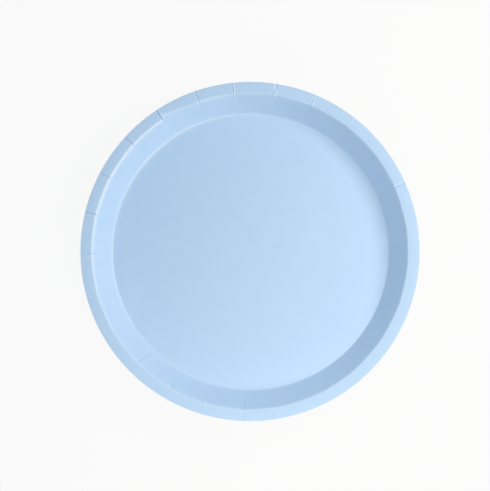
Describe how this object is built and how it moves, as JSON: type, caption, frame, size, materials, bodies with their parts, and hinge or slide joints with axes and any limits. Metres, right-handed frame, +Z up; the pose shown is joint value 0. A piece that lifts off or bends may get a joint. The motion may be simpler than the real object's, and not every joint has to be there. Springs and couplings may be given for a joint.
{
  "type": "stack of paper plates",
  "caption": "Stack of round pressed paper plates, nested in each other, with a flat floor, a sloping wall and a narrow rim with radial pleats.",
  "frame": {"origin": "on the ground under the middle of the bottom plate's floor", "axes": "+Z up along the axis that all the plates share; a plate has a pleat every 14.4 degrees, and the top plate has one 8.75 degrees from +X"},
  "size_m": [0.23, 0.2299, 0.0222],
  "materials": {
    "coated_board": "light blue coated face with a soft sheen, white board at the cut edge and underneath"
  },
  "bodies": {
    "root": {"plate_1": "coated_board", "plate_2": "coated_board", "plate_3": "coated_board", "plate_4": "coated_board", "plate_5": "coated_board", "plate_6": "coated_board"}
  },
  "joints": []
}
